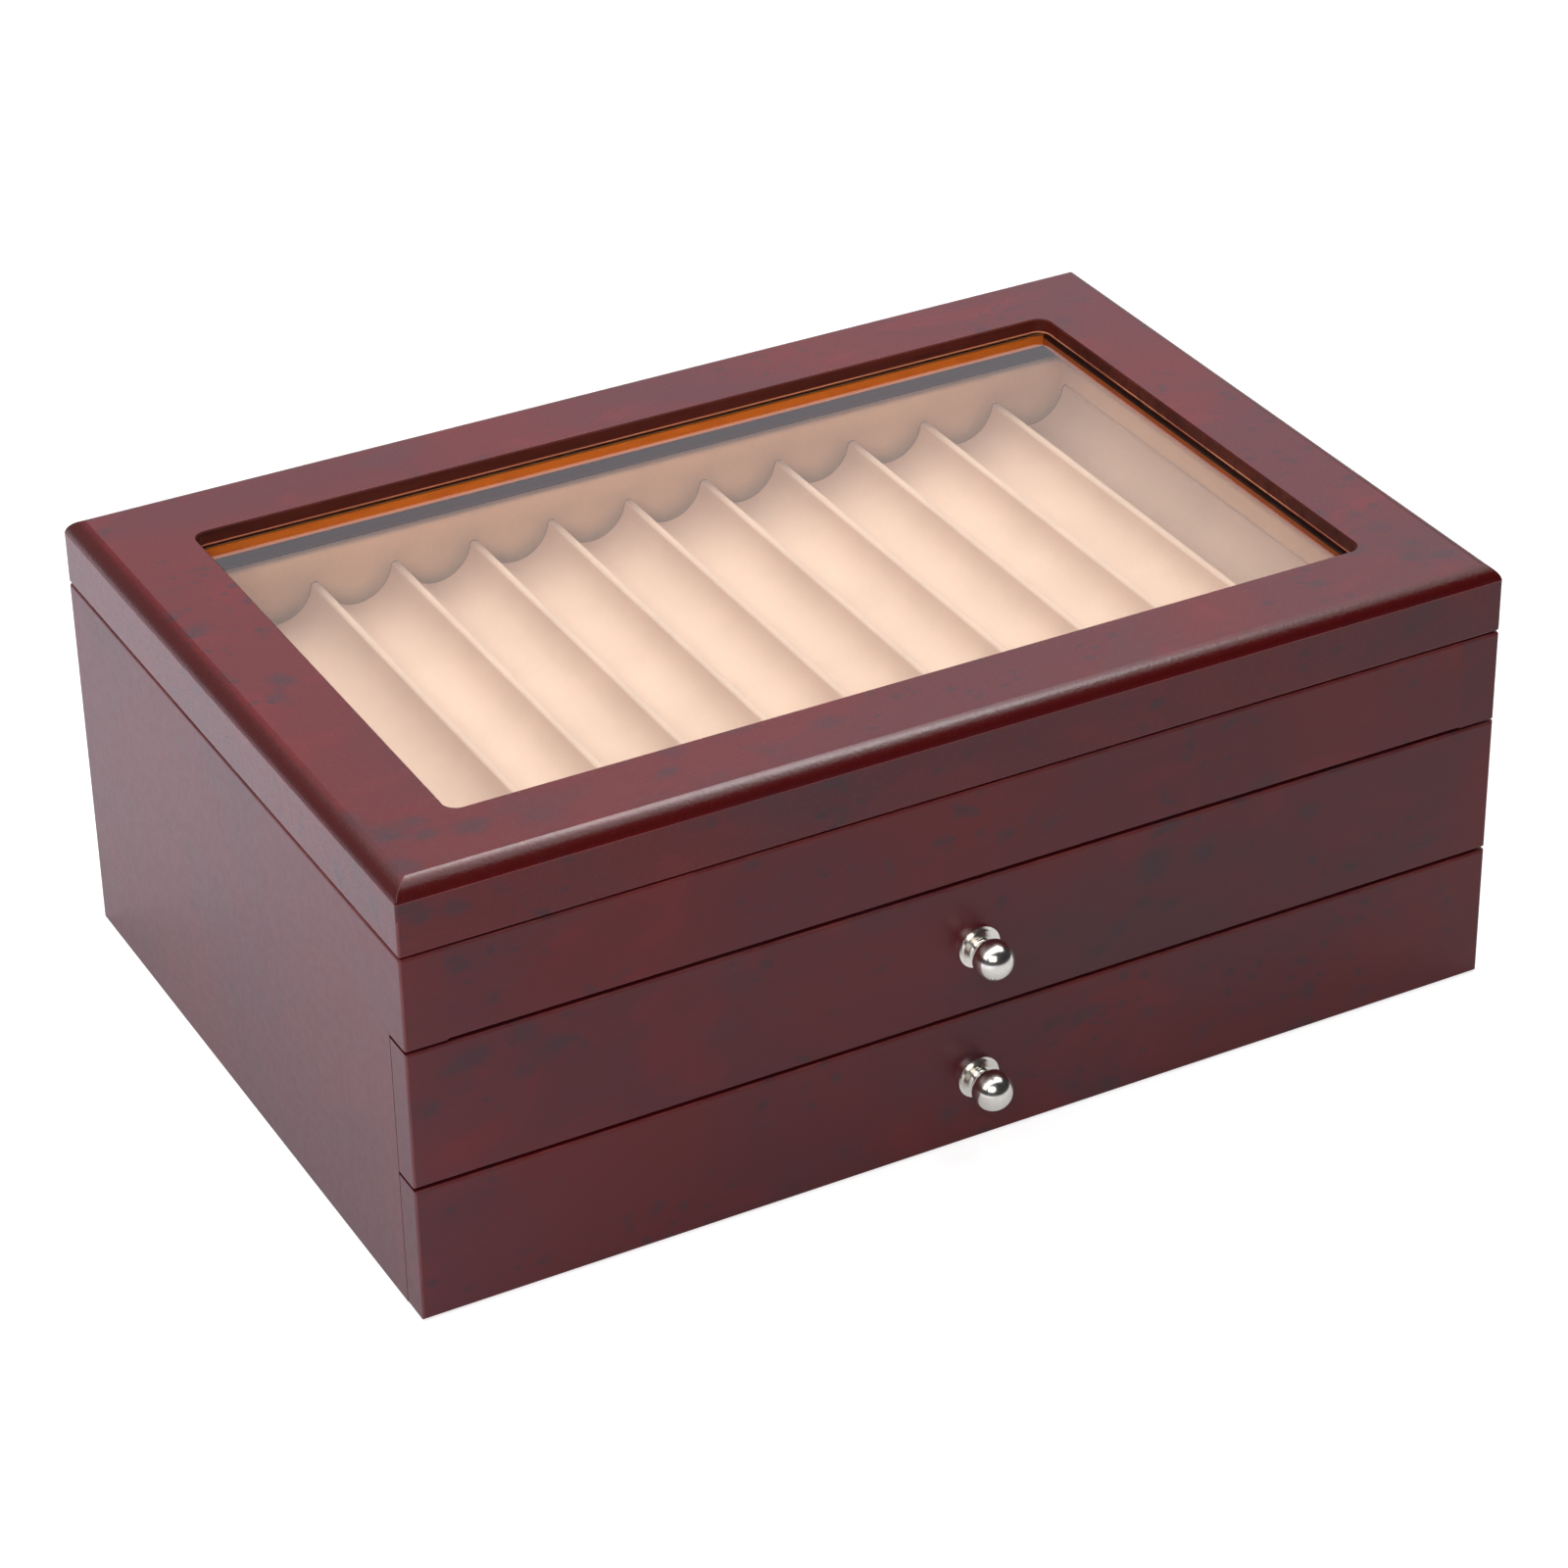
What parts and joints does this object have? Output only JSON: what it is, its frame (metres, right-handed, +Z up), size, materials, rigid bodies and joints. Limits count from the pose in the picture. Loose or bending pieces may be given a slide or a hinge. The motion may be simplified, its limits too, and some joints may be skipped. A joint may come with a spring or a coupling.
{
  "type": "pen display chest",
  "caption": "Lacquered wooden pen chest with a hinged glass-topped lid over a grooved display tray and full-width drawers below, each with a ball knob.",
  "frame": {"origin": "centre of the case's underside, midway between the sides and between the front and back faces", "axes": "+X to the right along the front, +Y from the front to the back, +Z up"},
  "size_m": [0.335, 0.2488, 0.1335],
  "materials": {
    "lacquered_wood": "gloss lacquer over dark burl veneer",
    "plain_board": "satin stain",
    "flocked_felt": "flocked",
    "clear_glass": "clear",
    "amber_strip": "satin lacquer",
    "brass": "satin",
    "polished_chrome": "polished",
    "steel": "zinc plated"
  },
  "bodies": {
    "case": {"left_side": "lacquered_wood", "right_side": "lacquered_wood", "back_panel": "lacquered_wood", "front_apron": "lacquered_wood", "base_panel": "plain_board", "drawer_divider": "plain_board", "tray_floor": "plain_board", "tray_liner_left": "flocked_felt", "tray_liner_right": "flocked_felt", "tray_liner_front": "flocked_felt", "tray_liner_back": "flocked_felt", "tray_insert": "flocked_felt", "left_hinge_case_leaf": "brass", "right_hinge_case_leaf": "brass", "left_hinge_pin": "brass", "right_hinge_pin": "brass", "hinge_case_screws": "brass"},
    "lid": {"lid_panel": "lacquered_wood", "lid_rail_front": "lacquered_wood", "lid_rail_back": "lacquered_wood", "lid_rail_left": "lacquered_wood", "lid_rail_right": "lacquered_wood", "glass_pane": "clear_glass", "glass_retainer_front": "amber_strip", "glass_retainer_back": "amber_strip", "glass_retainer_left": "amber_strip", "glass_retainer_right": "amber_strip", "left_hinge_lid_leaf": "brass", "right_hinge_lid_leaf": "brass", "hinge_lid_screws": "brass"},
    "upper_drawer": {"upper_drawer_front": "lacquered_wood", "upper_drawer_left": "plain_board", "upper_drawer_right": "plain_board", "upper_drawer_back": "plain_board", "upper_drawer_bottom": "plain_board", "upper_drawer_insert": "flocked_felt", "upper_drawer_knob": "polished_chrome", "upper_drawer_knob_screw": "steel"},
    "lower_drawer": {"lower_drawer_front": "lacquered_wood", "lower_drawer_left": "plain_board", "lower_drawer_right": "plain_board", "lower_drawer_back": "plain_board", "lower_drawer_bottom": "plain_board", "lower_drawer_insert": "flocked_felt", "lower_drawer_knob": "polished_chrome", "lower_drawer_knob_screw": "steel"}
  },
  "joints": [
    {"name": "lid_hinge", "type": "hinge", "parent": "case", "child": "lid", "pos_m": [0, 0.116, 0.1128], "axis": [-1, 0, 0], "range_deg": [0, 95]},
    {"name": "upper_drawer_slide", "type": "slide", "parent": "case", "child": "upper_drawer", "axis": [0, -1, 0], "range_m": [0, 0.16]},
    {"name": "lower_drawer_slide", "type": "slide", "parent": "case", "child": "lower_drawer", "axis": [0, -1, 0], "range_m": [0, 0.16]}
  ]
}
